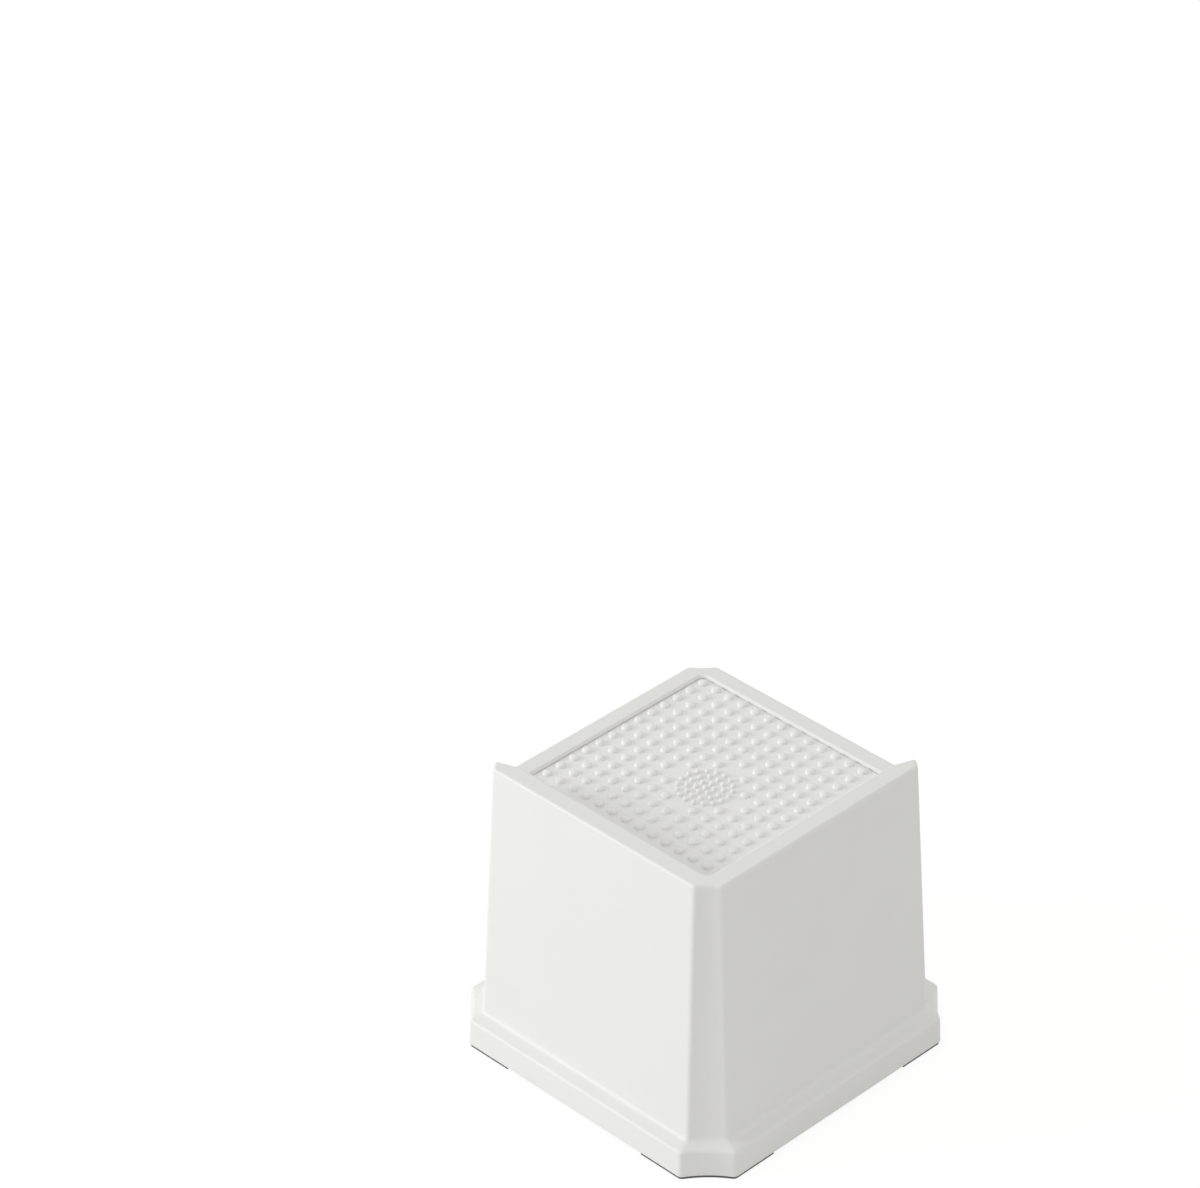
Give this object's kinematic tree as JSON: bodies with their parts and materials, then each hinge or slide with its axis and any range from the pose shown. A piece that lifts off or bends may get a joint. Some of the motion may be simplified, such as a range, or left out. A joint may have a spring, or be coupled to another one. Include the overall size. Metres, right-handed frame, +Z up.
{
  "type": "bed riser",
  "caption": "White square furniture riser with coved corners, a plinth, an L-shaped lip, a studded anti-slip mat in the top recess and dark rubber foot pads.",
  "frame": {"origin": "on the floor under the middle of the foot", "axes": "+Z up; the two lips stand on the -X and -Y sides, so the L's corner points to -X -Y"},
  "size_m": [0.1206, 0.1206, 0.1072],
  "materials": {
    "white_plastic": "satin",
    "white_mat": "satin",
    "dark_rubber": "matte"
  },
  "bodies": {
    "root": {"riser_body": "white_plastic", "top_mat": "white_mat", "foot_pad_front_left": "dark_rubber", "foot_pad_front_right": "dark_rubber", "foot_pad_back_right": "dark_rubber", "foot_pad_back_left": "dark_rubber"}
  },
  "joints": []
}
